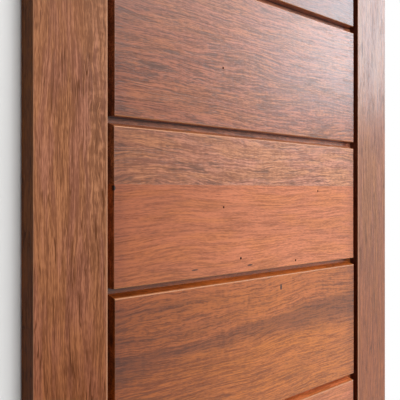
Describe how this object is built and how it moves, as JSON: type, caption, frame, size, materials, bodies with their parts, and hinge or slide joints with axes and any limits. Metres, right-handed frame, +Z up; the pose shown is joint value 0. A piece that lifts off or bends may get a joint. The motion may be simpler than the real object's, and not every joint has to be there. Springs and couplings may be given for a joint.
{
  "type": "exterior door",
  "caption": "Lipped timber exterior door of wide horizontal tongued boards between stiles, hung on barrel hinges in a white rebated frame, with lever handle, latch and deadbolt.",
  "frame": {"origin": "middle of the sill's underside, half way through the frame's depth", "axes": "+X to the right seen from outside, towards the hinges; +Y into the building; +Z up"},
  "size_m": [1.02, 0.177, 2.476],
  "materials": {
    "leaf_wood": "satin oiled hardwood",
    "frame_paint": "satin white paint",
    "sill_wood": "oiled hardwood",
    "rain_bar_aluminium": "anodised",
    "seal_rubber": "matt",
    "washer_nylon": "matt",
    "dowel_beech": "bare",
    "zinc_steel": "zinc plated",
    "satin_steel": "satin",
    "key_brass": "satin"
  },
  "bodies": {
    "frame": {"lock_jamb": "frame_paint", "hinge_jamb": "frame_paint", "head_jamb": "frame_paint", "sill": "sill_wood", "rain_bar": "rain_bar_aluminium", "seal_lock_side": "seal_rubber", "seal_hinge_side": "seal_rubber", "seal_head": "seal_rubber", "strike_plate": "satin_steel", "strike_screws": "satin_steel", "frame_screws": "zinc_steel", "hinge_bottom_frame_half": "satin_steel", "hinge_middle_frame_half": "satin_steel", "hinge_top_frame_half": "satin_steel", "hinge_pins": "satin_steel", "hinge_washers": "washer_nylon"},
    "leaf": {"lock_stile": "leaf_wood", "hinge_stile": "leaf_wood", "top_rail": "leaf_wood", "bottom_rail": "leaf_wood", "board_1": "leaf_wood", "board_2": "leaf_wood", "board_3": "leaf_wood", "board_4": "leaf_wood", "board_5": "leaf_wood", "board_6": "leaf_wood", "board_7": "leaf_wood", "board_8": "leaf_wood", "board_9": "leaf_wood", "rail_dowels": "dowel_beech", "bottom_seal": "seal_rubber", "hinge_bottom_leaf_half": "satin_steel", "hinge_middle_leaf_half": "satin_steel", "hinge_top_leaf_half": "satin_steel", "lock_case": "zinc_steel", "lock_cover": "zinc_steel", "lock_forend": "satin_steel", "forend_screws": "satin_steel", "rose_outside": "satin_steel", "rose_inside": "satin_steel", "key_cylinder": "satin_steel", "thumbturn_rose": "satin_steel"},
    "handle": {"lever_outside": "satin_steel", "lever_inside": "satin_steel", "spindle": "zinc_steel", "follower": "zinc_steel"},
    "latch": {"latch_bolt": "satin_steel", "latch_spring": "zinc_steel"},
    "key_work": {"key_plug": "key_brass", "tailpiece": "key_brass", "deadbolt_hub": "zinc_steel", "thumbturn": "satin_steel"},
    "bolt": {"deadbolt": "satin_steel"}
  },
  "joints": [
    {"name": "door_swing", "type": "hinge", "parent": "frame", "child": "leaf", "pos_m": [0.469, -0.05475, 0], "axis": [0, 0, 1], "range_deg": [0, 170]},
    {"name": "handle_turn", "type": "hinge", "parent": "leaf", "child": "handle", "pos_m": [-0.39, -0.0405, 1.05], "axis": [0, 1, 0], "range_deg": [0, 40], "stiffness_Nm_per_rad": 1.5, "springref_deg": -28.65},
    {"name": "latch_slide", "type": "slide", "parent": "leaf", "child": "latch", "axis": [1, 0, 0], "range_m": [0, 0.01205], "deforming": ["latch_spring"]},
    {"name": "deadbolt_slide", "type": "slide", "parent": "leaf", "child": "bolt", "axis": [-1, 0, 0], "range_m": [0, 0.02]},
    {"name": "key_turn", "type": "hinge", "parent": "leaf", "child": "key_work", "pos_m": [-0.39, -0.0405, 0.958], "axis": [0, 1, 0], "range_deg": [0, 90.1]}
  ],
  "couplings": [
    {"joint": "latch_slide", "follows": "handle_turn", "m_per_rad": 0.017189},
    {"joint": "key_turn", "follows": "deadbolt_slide", "rad_per_m": 78.54}
  ]
}
